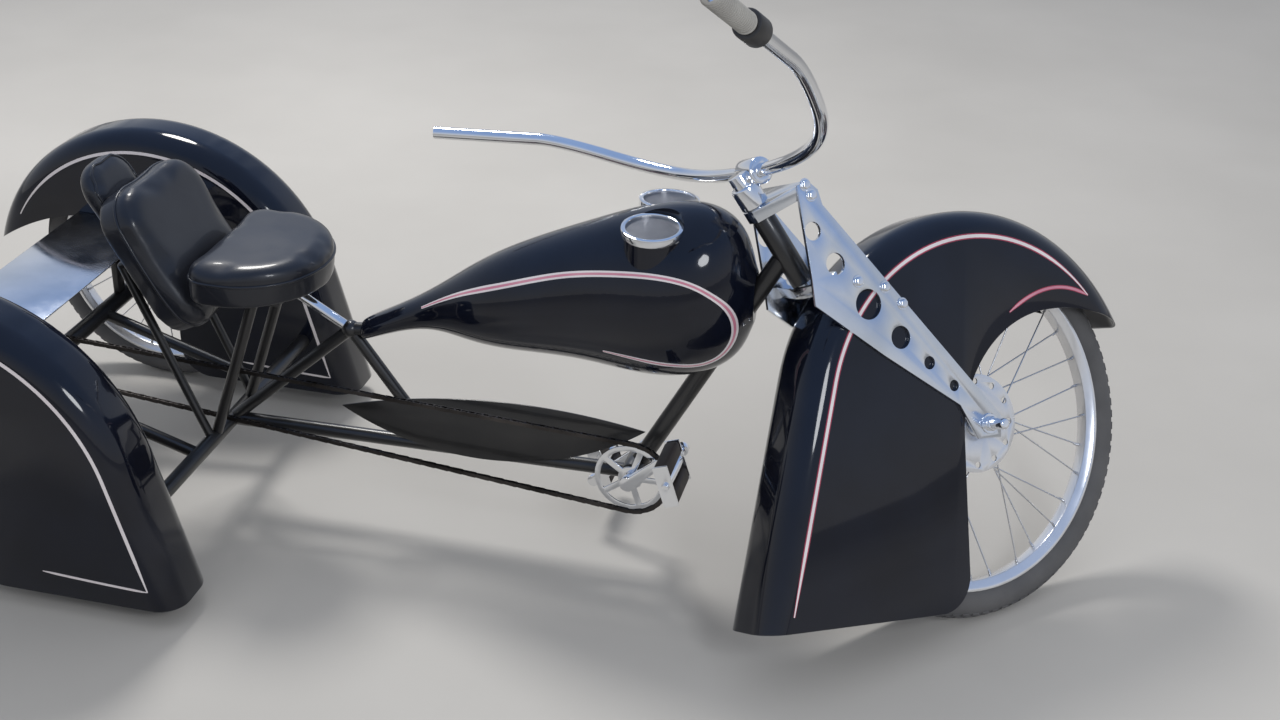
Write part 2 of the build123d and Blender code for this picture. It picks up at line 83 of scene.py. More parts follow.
def addCamera(s):
    yaw, pitch, roll = s["yaw"], s["pitch"], s["roll"]
    forward = Vector((math.sin(yaw) * math.cos(pitch), math.cos(yaw) * math.cos(pitch), -math.sin(pitch)))
    right = Vector((math.cos(yaw), -math.sin(yaw), 0))
    up = right.cross(forward)
    levelRight = math.cos(roll) * right + math.sin(roll) * up
    levelUp = -math.sin(roll) * right + math.cos(roll) * up
    data = bpy.data.cameras.new("camera")
    data.lens = s["lens"]
    data.sensor_width = 36
    camera = bpy.data.objects.new("camera", data)
    scene.collection.objects.link(camera)
    camera.matrix_world = Matrix.Translation(place(*s["place"])) @ Matrix(
        (levelRight, levelUp, -forward)).transposed().to_4x4()
    scene.camera = camera


addCamera(cameraSet)
print("camera placed")


# Shader node groups
def newGroup(name, inputs, outputs):
    group = bpy.data.node_groups.new(name, "ShaderNodeTree")
    for label, kind, value in inputs:
        socket = group.interface.new_socket(name=label, in_out="INPUT", socket_type=kind)
        if value is not None:
            socket.default_value = value
    for label, kind in outputs:
        group.interface.new_socket(name=label, in_out="OUTPUT", socket_type=kind)
    return group, group.nodes.new("NodeGroupInput"), group.nodes.new("NodeGroupOutput")


number, colour, vector = "NodeSocketFloat", "NodeSocketColor", "NodeSocketVector"


def makeWander():
    # A value that wanders slowly over the surface, between low and high
    group, given, out = newGroup("wander", [("Vector", vector, None), ("Scale", number, 20.0),
                                            ("Low", number, 0.1), ("High", number, 0.2)], [("Value", number)])
    noise = group.nodes.new("ShaderNodeTexNoise")
    noise.inputs["Detail"].default_value = 5
    noise.inputs["Roughness"].default_value = 0.62
    ramp = group.nodes.new("ShaderNodeMapRange")
    ramp.inputs["From Min"].default_value = 0.32
    ramp.inputs["From Max"].default_value = 0.68
    link = group.links.new
    link(given.outputs["Vector"], noise.inputs["Vector"])
    link(given.outputs["Scale"], noise.inputs["Scale"])
    link(noise.outputs["Fac"], ramp.inputs["Value"])
    link(given.outputs["Low"], ramp.inputs["To Min"])
    link(given.outputs["High"], ramp.inputs["To Max"])
    link(ramp.outputs["Result"], out.inputs["Value"])
    return group


def makeRelief():
    # Fine relief: soft noise, with a cell pattern mixed in for leather and rubber
    group, given, out = newGroup("relief", [("Vector", vector, None), ("Scale", number, 300.0),
                                            ("Cells", number, 0.0), ("Strength", number, 0.2),
                                            ("Depth", number, 0.0005)], [("Normal", vector)])
    noise = group.nodes.new("ShaderNodeTexNoise")
    noise.inputs["Detail"].default_value = 4
    cells = group.nodes.new("ShaderNodeTexVoronoi")
    cells.feature = "SMOOTH_F1"
    mix = group.nodes.new("ShaderNodeMix")
    bump = group.nodes.new("ShaderNodeBump")
    link = group.links.new
    for node in (noise, cells):
        link(given.outputs["Vector"], node.inputs["Vector"])
        link(given.outputs["Scale"], node.inputs["Scale"])
    link(given.outputs["Cells"], mix.inputs["Factor"])
    link(noise.outputs["Fac"], mix.inputs["A"])
    link(cells.outputs["Distance"], mix.inputs["B"])
    link(mix.outputs["Result"], bump.inputs["Height"])
    link(given.outputs["Strength"], bump.inputs["Strength"])
    link(given.outputs["Depth"], bump.inputs["Distance"])
    link(bump.outputs["Normal"], out.inputs["Normal"])
    return group


def makeTint():
    # Two close colours, mixed by a broad noise
    group, given, out = newGroup("tint", [("Vector", vector, None), ("Scale", number, 12.0),
                                          ("One", colour, (0, 0, 0, 1)), ("Other", colour, (1, 1, 1, 1))],
                                 [("Color", colour)])
    noise = group.nodes.new("ShaderNodeTexNoise")
    noise.inputs["Detail"].default_value = 6
    ramp = group.nodes.new("ShaderNodeMapRange")
    ramp.inputs["From Min"].default_value = 0.35
    ramp.inputs["From Max"].default_value = 0.65
    mix = group.nodes.new("ShaderNodeMix")
    mix.data_type = "RGBA"
    link = group.links.new
    link(given.outputs["Vector"], noise.inputs["Vector"])
    link(given.outputs["Scale"], noise.inputs["Scale"])
    link(noise.outputs["Fac"], ramp.inputs["Value"])
    link(ramp.outputs["Result"], mix.inputs["Factor"])
    link(given.outputs["One"], mix.inputs[6])
    link(given.outputs["Other"], mix.inputs[7])
    link(mix.outputs[2], out.inputs["Color"])
    return group


wander, relief, tint = makeWander(), makeRelief(), makeTint()

# Finishes: two close colours, metal, roughness low and high, coat, spec where it isn't the usual one, and
# the relief's scale, cells, strength and depth
finishes = {
    "gloss_black": dict(one=(0.004, 0.005, 0.011), other=(0.006, 0.008, 0.017), metal=0, rough=(0.10, 0.17),
                        coat=0.7, spec=0.1, scale=55, cells=0, strength=0.05, depth=0.0006),
    "black_frame": dict(one=(0.010, 0.010, 0.011), other=(0.018, 0.017, 0.017), metal=0, rough=(0.28, 0.42),
                        coat=0.3, scale=120, cells=0, strength=0.08, depth=0.0005),
    "polished": dict(one=(0.64, 0.67, 0.71), other=(0.77, 0.79, 0.83), metal=1, rough=(0.09, 0.20),
                     coat=0, scale=240, cells=0, strength=0.04, depth=0.0004),
    "chrome": dict(one=(0.78, 0.79, 0.81), other=(0.86, 0.87, 0.89), metal=1, rough=(0.04, 0.10),
                   coat=0, scale=160, cells=0, strength=0.02, depth=0.0003),
    "rim_alloy": dict(one=(0.76, 0.76, 0.77), other=(0.84, 0.84, 0.85), metal=0.7, rough=(0.16, 0.28),
                      coat=0, scale=300, cells=0, strength=0.05, depth=0.0003),
    "steel": dict(one=(0.58, 0.58, 0.59), other=(0.70, 0.70, 0.71), metal=1, rough=(0.22, 0.36),
                  coat=0, scale=380, cells=0, strength=0.08, depth=0.0003),
    "chain_steel": dict(one=(0.035, 0.032, 0.030), other=(0.10, 0.09, 0.085), metal=1, rough=(0.32, 0.55),
                        coat=0, scale=500, cells=0, strength=0.15, depth=0.0003),
    "tyre": dict(one=(0.085, 0.085, 0.089), other=(0.125, 0.124, 0.127), metal=0, rough=(0.62, 0.80),
                 coat=0, scale=420, cells=0.5, strength=0.25, depth=0.0005),
    "vinyl": dict(one=(0.009, 0.010, 0.015), other=(0.015, 0.017, 0.024), metal=0, rough=(0.30, 0.42),
                  coat=0.35, spec=0.35, scale=520, cells=0.85, strength=0.10, depth=0.0006),
    "grip_rubber": dict(one=(0.36, 0.35, 0.33), other=(0.46, 0.45, 0.42), metal=0, rough=(0.55, 0.75),
                        coat=0, scale=450, cells=0.5, strength=0.25, depth=0.0005),
    "pedal_rubber": dict(one=(0.022, 0.016, 0.013), other=(0.045, 0.034, 0.028), metal=0, rough=(0.5, 0.7),
                         coat=0, scale=450, cells=0.5, strength=0.3, depth=0.0006),
    "black_plastic": dict(one=(0.018, 0.018, 0.019), other=(0.032, 0.031, 0.031), metal=0, rough=(0.4, 0.55),
                          coat=0, scale=600, cells=0.6, strength=0.2, depth=0.0004),
    "mesh_grey": dict(one=(0.10, 0.105, 0.12), other=(0.17, 0.175, 0.19), metal=0.5, rough=(0.30, 0.45),
                      coat=0, scale=1500, cells=1.0, strength=0.5, depth=0.0006),
    "stripe_pale": dict(one=(0.80, 0.74, 0.77), other=(0.90, 0.86, 0.88), metal=0, rough=(0.18, 0.26),
                        coat=1.0, scale=60, cells=0, strength=0.03, depth=0.0004),
    "stripe_red": dict(one=(0.33, 0.015, 0.05), other=(0.45, 0.03, 0.08), metal=0, rough=(0.18, 0.26),
                       coat=1.0, scale=60, cells=0, strength=0.03, depth=0.0004),
    "stripe_pink": dict(one=(0.62, 0.20, 0.30), other=(0.74, 0.33, 0.42), metal=0, rough=(0.18, 0.26),
                        coat=1.0, scale=60, cells=0, strength=0.03, depth=0.0004),
}
everyFinish = {"tintScale": 9.0, "wanderScale": 14.0, "coatRough": 0.04, "spec": 0.5}


def placeGroup(tree, group, source, values):
    node = tree.nodes.new("ShaderNodeGroup")
    node.node_tree = group
    tree.links.new(source, node.inputs["Vector"])
    for label, value in values.items():
        node.inputs[label].default_value = value
    return node


def makeFinish(name, f):
    mat = bpy.data.materials.new(name)
    mat.use_nodes = True
    tree = mat.node_tree
    shader = tree.nodes["Principled BSDF"]
    source = tree.nodes.new("ShaderNodeTexCoord").outputs["Object"]
    shade = placeGroup(tree, tint, source, {"Scale": everyFinish["tintScale"], "One": (*f["one"], 1),
                                            "Other": (*f["other"], 1)})
    tree.links.new(shade.outputs["Color"], shader.inputs["Base Color"])
    low, high = f["rough"]
    rough = placeGroup(tree, wander, source, {"Scale": everyFinish["wanderScale"], "Low": low,
                                              "High": high})
    tree.links.new(rough.outputs["Value"], shader.inputs["Roughness"])
    bump = placeGroup(tree, relief, source, {"Scale": f["scale"], "Cells": f["cells"],
                                             "Strength": f["strength"], "Depth": f["depth"]})
    tree.links.new(bump.outputs["Normal"], shader.inputs["Normal"])
    shader.inputs["Metallic"].default_value = f["metal"]
    shader.inputs["Coat Weight"].default_value = f["coat"]
    shader.inputs["Coat Roughness"].default_value = everyFinish["coatRough"]
    shader.inputs["Specular IOR Level"].default_value = f.get("spec", everyFinish["spec"])
    return mat


finish = {name: makeFinish(name, f) for name, f in finishes.items()}
for name, obj in nodes.items():
    obj.data.materials.clear()
    obj.data.materials.append(finish[slotOf[name]])
print("finishes made")


# Modelling helpers
def deselect():
    if bpy.context.mode != "OBJECT":
        bpy.ops.object.mode_set(mode="OBJECT")
    bpy.ops.object.select_all(action="DESELECT")


def pick(obj):
    deselect()
    obj.select_set(True)
    bpy.context.view_layer.objects.active = obj
    return obj


def applyPlace(obj):
    pick(obj)
    bpy.ops.object.transform_apply(location=True, rotation=True, scale=True)


def applyModifiers(obj):
    pick(obj)
    for m in list(obj.modifiers):
        bpy.ops.object.modifier_apply(modifier=m.name)


def smooth(obj, degrees):
    pick(obj)
    bpy.ops.object.shade_smooth_by_angle(angle=math.radians(degrees))


def bevel(obj, width, segments=2, degrees=35):
    m = obj.modifiers.new("bevel", "BEVEL")
    m.width = width
    m.segments = segments
    m.limit_method = "ANGLE"
    m.angle_limit = math.radians(degrees)
    applyModifiers(obj)


def copied(source, name):
    # A copy of a piece with its own mesh
    copy = bpy.data.objects.new(name, source.data.copy())
    scene.collection.objects.link(copy)
    return copy


def stamped(template, matrix, name):
    # A copy put in place by a matrix
    copy = copied(template, name)
    copy.data.transform(matrix)
    return copy


def editWhole(obj):
    # Goes into edit mode with the whole mesh selected
    pick(obj)
    bpy.ops.object.mode_set(mode="EDIT")
    bpy.ops.mesh.select_all(action="SELECT")


def joined(parts, name):
    deselect()
    for p in parts:
        p.select_set(True)
    bpy.context.view_layer.objects.active = parts[0]
    if len(parts) > 1:
        bpy.ops.object.join()
    parts[0].name = name
    return parts[0]


def insetTop(obj, thickness):
    # Insets the face that looks up, and stays in edit mode with it selected
    bpy.ops.object.mode_set(mode="EDIT")
    mesh = bmesh.from_edit_mesh(obj.data)
    for face in mesh.faces:
        face.select = face.normal.z > 0.9
    bmesh.update_edit_mesh(obj.data)
    bpy.ops.mesh.inset(thickness=thickness)


def setOn(obj, body, replaces=()):
    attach(obj, body)
    if replaces:
        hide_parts(*replaces)


def dress(obj, body, slot, replaces=()):
    obj.data.materials.clear()
    obj.data.materials.append(finish[slot])
    setOn(obj, body, replaces)


def aligned(point, direction):
    # The matrix that turns +Z to a direction and moves the origin to a point
    return Matrix.Translation(point) @ Vector(direction).to_track_quat("Z", "Y").to_matrix().to_4x4()


mergeWithin = 0.00001               # joins the loose triangles of a CAD piece

# CAD pieces with their edges eased, each by its own width
easedSet = {
    "fork_plate_left": 0.0014, "fork_plate_right": 0.0014, "upper_crown": 0.003, "lower_crown": 0.003,
    "rear_deck": 0.0010, "crank_set": 0.0009, "pedal_left": 0.0008, "pedal_right": 0.0008,
    "leaf_panel": 0.0010, "seat_pan": 0.0015, "bottom_bracket": 0.0012, "head_tube": 0.0012,
    "front_fender": 0.0011, "rear_fender_left": 0.0011, "rear_fender_right": 0.0011,
    "cap_rings": 0.0022, "stem": 0.0016, "control_block": 0.003,
    "pedal_rubbers_left": 0.007, "pedal_rubbers_right": 0.007, "deck_posts": 0.001,
    "rear_sprocket": 0.0008, "front_axle": 0.001, "front_hub": 0.0012,
    "front_rim": 0.0015, "rear_rim_left": 0.0015, "rear_rim_right": 0.0015,
}
flatWithin = math.radians(0.5)
wideEdge = 0.004                    # a wider edge is rounded in four steps, the others in two


def ease(node, width):
    copy = copied(nodes[node], node + "_eased")
    editWhole(copy)
    bpy.ops.mesh.remove_doubles(threshold=mergeWithin)
    bpy.ops.mesh.dissolve_limited(angle_limit=flatWithin)
    bpy.ops.object.mode_set(mode="OBJECT")
    bevel(copy, width, 4 if width > wideEdge else 2)
    smooth(copy, 32)
    dress(copy, bodyOf[node], slotOf[node], [node])


for node, width in easedSet.items():
    ease(node, width)
print("edges eased on", len(easedSet), "pieces")

# Wheels: tyre with its tread, in rows at angles across it, and spoke nipples
rearWheel = dict(turned=False, radius=0.254, half=0.025, rim=0.195, spokes=28, blocks=76)
wheelSet = {
    "front": dict(body="front_wheel", node="front_tyre", turned=True, radius=0.333, half=0.027, rim=0.270,
                  spokes=32, blocks=96),
    "rear_left": dict(rearWheel, body="rear_wheel_left", node="rear_tyre_left"),
    "rear_right": dict(rearWheel, body="rear_wheel_right", node="rear_tyre_right"),
}
treadSet = {"height": 0.0016, "rows": (-0.62, -0.31, 0, 0.31, 0.62), "width": 0.0062, "fill": 0.62,
            "bevel": 0.0006, "sink": 0.0012, "around": 144, "across": 28}
nippleSet = {"radius": 0.0026, "length": 0.011, "neck": 0.0019, "tip": 0.4, "spread": 0.006, "lean": 0.12}


def addNipple(s):
    deselect()
    bpy.ops.mesh.primitive_cylinder_add(vertices=10, radius=s["radius"], depth=s["length"])
    nipple = bpy.context.object
    insetTop(nipple, s["radius"] - s["neck"])
    bpy.ops.mesh.extrude_region_move(TRANSFORM_OT_translate={"value": (0, 0, s["length"] * s["tip"])})
    bpy.ops.object.mode_set(mode="OBJECT")
    return nipple


def addTreadBlock(s, radius, count):
    length = 2 * math.pi * radius / count * s["fill"]
    deselect()
    bpy.ops.mesh.primitive_cube_add(size=1)
    cube = bpy.context.object
    cube.scale = (length, s["width"], s["height"] + s["sink"])
    applyPlace(cube)
    bevel(cube, s["bevel"], 1)
    return cube


def addWheel(name, w):
    matrix = wheelPlace(w["body"] + "_spin", w["turned"])
    middle = w["radius"] - w["half"]
    minor = w["half"] - treadSet["height"]
    deselect()
    bpy.ops.mesh.primitive_torus_add(major_radius=middle, minor_radius=minor,
                                     major_segments=treadSet["around"], minor_segments=treadSet["across"],
                                     rotation=(math.pi / 2, 0, 0))
    tyre = bpy.context.object
    applyPlace(tyre)
    smooth(tyre, 60)
    block = addTreadBlock(treadSet, w["radius"], w["blocks"])
    parts = [tyre]
    for r, row in enumerate(treadSet["rows"]):
        for i in range(w["blocks"]):
            around = Matrix.Rotation(2 * math.pi * (i + 0.5 * (r % 2)) / w["blocks"], 4, "Y")
            across = Matrix.Rotation(-row, 4, "X")
            out = minor + (treadSet["height"] - treadSet["sink"]) / 2
            turn = around @ Matrix.Translation((0, 0, middle)) @ across @ Matrix.Translation((0, 0, out))
            parts.append(stamped(block, turn, "block"))
    bpy.data.objects.remove(block)
    tyre = joined(parts, name + "_tyre_treaded")
    tyre.data.transform(matrix)
    dress(tyre, w["body"], "tyre", [w["node"]])
    nipple = addNipple(nippleSet)
    parts = []
    for i in range(w["spokes"]):
        a = 2 * math.pi * i / w["spokes"]
        side = 1 if i % 2 else -1
        at = Vector((w["rim"] * math.cos(a), side * nippleSet["spread"], w["rim"] * math.sin(a)))
        inward = Vector((-math.cos(a), side * nippleSet["lean"], -math.sin(a)))
        parts.append(stamped(nipple, matrix @ aligned(at, inward), "nipple"))
    bpy.data.objects.remove(nipple)
    dress(joined(parts, name + "_nipples"), w["body"], "steel")


for name, w in wheelSet.items():
    addWheel(name, w)
print("wheels treaded")

# Paint stripes on the fenders, in millimetres from the middle of each crown, forwards being the open arch
fenderShape = {
    "front": dict(radius=362, tailX=-457, tailZ=-311, start=42, inset=46, low=26,
                  hook=((150, 252), (58, 186)), widths=(1, 0.75),
                  colours=(("stripe_red", "stripe_pale"), ("stripe_red", "stripe_pink"))),
    "rear": dict(radius=365, tailX=-422, tailZ=-152, start=30, inset=38, low=38,
                 foot=((90, 2), (190, 8)), widths=(0.62, 0.465),
                 colours=(("stripe_pale", "stripe_pale"), ("stripe_pale", "stripe_pale"))),
}
stripeSet = {"off": 110, "lift": 0.45, "thick": 0.4, "width": 9.5, "core": 5.5, "step": 2.5, "tailSteps": 30,
             "tip": 0.35, "swell": 6}
rearCrown = (12, 189)               # the middle of a rear fender's crown, forwards and up from the origin


def bend(a, b, c, count=24):
    # Points on a curve from a to c that leans to b
    line = []
    for i in range(count + 1):
        t = i / count
        line.append(tuple((1 - t) ** 2 * p + 2 * t * (1 - t) * q + t ** 2 * r for p, q, r in zip(a, b, c)))
    return line


def crownLine(f):
    # The crown's arc and the tail's straight line, set in from the outline, as x and z
    r, tailX, tailZ = f["radius"], f["tailX"], f["tailZ"]
    leave = math.pi + math.atan2(-tailZ, -tailX) - math.acos(r / math.hypot(tailX, tailZ))
    inner = r - f["inset"]
    line = []
    angle = math.radians(f["start"])
    while angle < leave:
        line.append((inner * math.cos(angle), inner * math.sin(angle)))
        angle += math.radians(stripeSet["step"])
    end = (inner * math.cos(leave), inner * math.sin(leave))
    slope = (-math.sin(leave), math.cos(leave))
    run = (tailZ + f["low"] - end[1]) / slope[1]
    steps = stripeSet["tailSteps"]
    for i in range(steps + 1):
        line.append((end[0] + slope[0] * run * i / steps, end[1] + slope[1] * run * i / steps))
    return line


def addRibbon(line, side, width, core, colours):
    # A painted line with narrow ends: a core between two edges, on points in x and z, at one y
    verts, faces, shades = [], [], []
    last = len(line) - 1
    for i, (x, z) in enumerate(line):
        a, b = line[max(i - 1, 0)], line[min(i + 1, last)]
        dx, dz = b[0] - a[0], b[1] - a[1]
        size = math.hypot(dx, dz) or 1
        nx, nz = -dz / size, dx / size
        ends = min(1, stripeSet["tip"] + stripeSet["swell"] * min(i, last - i) / last)
        for share in (-width / 2, -core / 2, core / 2, width / 2):
            px, pz = x + nx * share * ends, z + nz * share * ends
            verts.append((px / 1000, side / 1000, pz / 1000))
    for i in range(last):
        for k in range(3):
            a = 4 * i + k
            faces.append((a, a + 1, a + 5, a + 4))
            shades.append(1 if k == 1 else 0)
    mesh = bpy.data.meshes.new("line")
    mesh.from_pydata(verts, [], faces)
    ribbon = bpy.data.objects.new("line", mesh)
    scene.collection.objects.link(ribbon)
    for c in colours:
        mesh.materials.append(finish[c])
    for polygon, shade in zip(mesh.polygons, shades):
        polygon.material_index = shade
    return ribbon


def closeRibbon(ribbon, outward):
    # Faces it outwards and gives it a thin solid's thickness
    if ribbon.data.polygons[0].normal.dot(outward) < 0:
        editWhole(ribbon)
        bpy.ops.mesh.flip_normals()
        bpy.ops.object.mode_set(mode="OBJECT")
    m = ribbon.modifiers.new("thickness", "SOLIDIFY")
    m.thickness = stripeSet["thick"] / 1000
    m.offset = -1
    applyModifiers(ribbon)


def pressOn(ribbon, target, side):
    # Presses a painted line on to a surface from its outer side, along Y
    m = ribbon.modifiers.new("press", "SHRINKWRAP")
    m.target = target
    m.wrap_method = "PROJECT"
    m.use_project_y = True
    m.use_negative_direction = side > 0
    m.use_positive_direction = side < 0
    m.offset = stripeSet["lift"] / 1000
    applyModifiers(ribbon)


def fenderStripes(kind, node, matrix, body, flip):
    # The long line over the crown, and a short one that goes on from its front or its foot
    f = fenderShape[kind]
    crown = crownLine(f)
    if "hook" in f:
        short = bend(crown[0], *f["hook"])
    else:
        x, z = crown[-1]
        short = bend((x, z), *((x + ahead, z + up) for ahead, up in f["foot"]))
    surface = stamped(nodes[node], matrix.inverted(), "surface")
    parts = []
    for side in (-1, 1):
        for line, share, colours in zip((crown, short), f["widths"], f["colours"]):
            ribbon = addRibbon([(x * flip, z) for x, z in line], side * stripeSet["off"],
                               stripeSet["width"] * share, stripeSet["core"] * share, colours)
            pressOn(ribbon, surface, side)
            closeRibbon(ribbon, Vector((0, side, 0)))
            ribbon.data.transform(matrix)
            parts.append(ribbon)
    bpy.data.objects.remove(surface)
    setOn(joined(parts, node + "_stripes"), body)


fenderStripes("front", "front_fender", frontPlace, "steering", 1)
halfTrack = abs(rearLeft.y - rearRight.y) * 500
for side, out in (("left", halfTrack), ("right", -halfTrack)):
    crownPlace = Matrix.Translation(place(rearCrown[0], out, rearCrown[1]))
    fenderStripes("rear", "rear_fender_" + side, crownPlace, "frame", -1)
print("fenders striped")

# Stripe round the tank's side, drawn on each side and pressed on to the tank
tankStripe = {"line": [(722, 450), (804, 498), (889, 535), (991, 572), (1090, 595), (1160, 601), (1212, 590),
                       (1252, 560), (1271, 524), (1272, 484), (1254, 451), (1222, 436), (1176, 438),
                       (1111, 446), (1062, 449)], "off": 160, "width": 9, "core": 3.4,
              "colours": ("stripe_pale", "stripe_pink")}


def softLine(points, steps=8):
    # A smooth line through points, each stretch cut into steps
    line = []
    last = len(points) - 1
    for i in range(last):
        p0, p1, p2, p3 = points[max(i - 1, 0)], points[i], points[i + 1], points[min(i + 2, last)]
        for k in range(steps):
            t = k / steps
            line.append(tuple(0.5 * (2 * b + (c - a) * t + (2 * a - 5 * b + 4 * c - d) * t ** 2
                                     + (3 * b - a - 3 * c + d) * t ** 3)
                              for a, b, c, d in zip(p0, p1, p2, p3)))
    return line + [points[-1]]


def addTankStripes(s):
    parts = []
    for side in (-1, 1):
        ribbon = addRibbon(softLine(s["line"]), side * s["off"], s["width"], s["core"], s["colours"])
        ribbon.data.transform(Matrix.Translation(origin))
        pressOn(ribbon, nodes["tank"], side)
        closeRibbon(ribbon, Vector((0, side, 0)))
        parts.append(ribbon)
    setOn(joined(parts, "tank_stripes"), "frame")


addTankStripes(tankStripe)
print("tank striped")

# Seat pads: softened copies of the plain pads, swollen by cloth simulation, with a sewn welt. It lies level
# at weltAt, a share of the pad's height, or follows the lean of a back pad
padSet = {
    "seat_cushion": dict(voxel=0.006, cap=0.005, fill=0.75, weltAt=0.62),
    "back_pad": dict(voxel=0.006, cap=0.005, fill=0.7, weltAt=None),
    "upper_pad": dict(voxel=0.005, cap=0.004, fill=0.7, weltAt=None),
}
everyPad = {"firstRelax": 14, "shrink": 0.003, "pressure": 4.0, "frames": 20, "slack": 0.006, "lastRelax": 16}
weltSet = {"radius": 0.0028, "lean": math.radians(30), "ahead": 0.01, "merge": 0.002}


def relax(pad, rounds):
    m = pad.modifiers.new("relax", "SMOOTH")
    m.factor = 0.5
    m.iterations = rounds


def swell(pad, cap):
    # Cloth under pressure, with no point going further than the cap
    before = [v.co.copy() for v in pad.data.vertices]
    cloth = pad.modifiers.new("cloth", "CLOTH")
    cloth.settings.use_pressure = True
    cloth.settings.uniform_pressure_force = everyPad["pressure"]
    cloth.settings.effector_weights.gravity = 0
    cloth.settings.quality = 5
    for step in range(1, everyPad["frames"] + 1):
        scene.frame_set(step)
    bpy.context.view_layer.update()
    swollen = pad.evaluated_get(bpy.context.evaluated_depsgraph_get())
    after = [v.co.copy() for v in swollen.data.vertices]
    pad.modifiers.remove(cloth)
    for v, a, b in zip(pad.data.vertices, before, after):
        move = b - a
        if move.length > cap:
            move *= cap / move.length
        v.co = a + move
    scene.frame_set(1)


def addPad(node, s):
    pad = copied(nodes[node], node + "_padded")
    editWhole(pad)
    bpy.ops.mesh.remove_doubles(threshold=mergeWithin)
    bpy.ops.object.mode_set(mode="OBJECT")
    pad.data.remesh_voxel_size = s["voxel"]
    bpy.ops.object.voxel_remesh()
    relax(pad, everyPad["firstRelax"])
    applyModifiers(pad)
    editWhole(pad)
    bpy.ops.transform.shrink_fatten(value=-everyPad["shrink"])
    bpy.ops.object.mode_set(mode="OBJECT")
    swell(pad, s["cap"])
    low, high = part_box(node)
    slack = everyPad["slack"]
    for v in pad.data.vertices:
        for k in range(3):
            v.co[k] = min(max(v.co[k], low[k] - slack), high[k] + slack)
    relax(pad, everyPad["lastRelax"])
    finer = pad.modifiers.new("finer", "SUBSURF")
    finer.levels = finer.render_levels = 1
    applyModifiers(pad)
    smooth(pad, 180)
    dress(pad, "frame", "vinyl", [node])
    addWelt(pad, node, s, low, high)


def addWelt(pad, node, s, low, high):
    # The sewn cord round a pad, on the line where a plane cuts it
    line = copied(pad, node + "_welt")
    middle = (Vector(low) + Vector(high)) / 2
    if s["weltAt"]:
        normal = Vector((0, 0, 1))
        at = Vector((middle.x, middle.y, low[2] + (high[2] - low[2]) * s["weltAt"]))
    else:
        normal = Vector((math.cos(weltSet["lean"]), 0, math.sin(weltSet["lean"])))
        at = middle + normal * weltSet["ahead"]
    editWhole(line)
    bpy.ops.mesh.bisect(plane_co=at, plane_no=normal, clear_inner=True, clear_outer=True)
    bpy.ops.mesh.remove_doubles(threshold=weltSet["merge"])
    bpy.ops.object.mode_set(mode="OBJECT")
    bpy.ops.object.convert(target="CURVE")
    line.data.bevel_depth = weltSet["radius"]
    line.data.bevel_resolution = 3
    bpy.ops.object.convert(target="MESH")
    smooth(line, 60)
    dress(line, "frame", "vinyl")


for node, s in padSet.items():
    addPad(node, s)
print("pads swollen and welted")

# Bolts of the steering; the fork's are placed up along the steering axis and ahead of it, in millimetres
boltSet = {"headRadius": 0.0085, "headHeight": 0.0055, "top": 0.18, "edge": 0.0006,
           "washerRadius": 0.0115, "washerHeight": 0.0016, "washerEdge": 0.0004}
forkBolts = {"size": 0.9, "out": 72.3, "spots": ((508, 54), (528, 54), (308, 84), (266, 96), (346, 46))}
axleNuts = {"size": 1.5, "out": 72.5}


def addBolt(s):
    deselect()
    bpy.ops.mesh.primitive_cylinder_add(vertices=6, radius=s["headRadius"], depth=s["headHeight"],
                                        location=(0, 0, s["washerHeight"] + s["headHeight"] / 2))
    head = bpy.context.object
    applyPlace(head)
    insetTop(head, s["headRadius"] * s["top"])
    bpy.ops.transform.translate(value=(0, 0, s["headHeight"] * s["top"]))
    bpy.ops.object.mode_set(mode="OBJECT")
    bevel(head, s["edge"], 2, 20)
    deselect()
    bpy.ops.mesh.primitive_cylinder_add(vertices=28, radius=s["washerRadius"], depth=s["washerHeight"],
                                        location=(0, 0, s["washerHeight"] / 2))
    washer = bpy.context.object
    applyPlace(washer)
    bevel(washer, s["washerEdge"], 1)
    bolt = joined([head, washer], "bolt")
    smooth(bolt, 30)
    return bolt


bolt = addBolt(boltSet)


def boltRow(name, size, spots):
    # Copies of the bolt at a size, each at a place in millimetres, looking out to its side
    parts = []
    for at, side in spots:
        turn = aligned(place(*at), (0, side, 0)) @ Matrix.Scale(size, 4)
        parts.append(stamped(bolt, steerSpin @ turn, "bolt"))
    dress(joined(parts, name), "steering", "chrome")


frontX, frontZ = (frontCentre - origin).x * 1000, frontCentre.z * 1000
steerFoot = (steerAt - origin) * 1000
axisAhead = Vector((steerAxis.z, 0, -steerAxis.x))


def onSteering(along, ahead, side):
    p = steerFoot + steerAxis * along + axisAhead * ahead
    return (p.x, side, p.z)


boltRow("fork_bolts", forkBolts["size"],
        [(onSteering(*spot, s * forkBolts["out"]), s) for s in (-1, 1) for spot in forkBolts["spots"]])
boltRow("front_axle_nuts", axleNuts["size"], [((frontX, s * axleNuts["out"], frontZ), s) for s in (-1, 1)])
bpy.data.objects.remove(bolt)
print("bolts set")

# Handlebar, bent in smooth curves; back, up and out from the upper crown in millimetres
barSet = {"radius": 11.1, "middle": (8, 64, 112), "bend": (37, 92, 252), "rise": (166, 159, 386),
          "end": (340, 186, 522), "reach": 140, "straight": (0.32, 0.66), "rounds": 10}
crownAlong = 521                    # the upper crown's place along the steering axis
crownTop = Vector(onSteering(crownAlong, 0, 0))


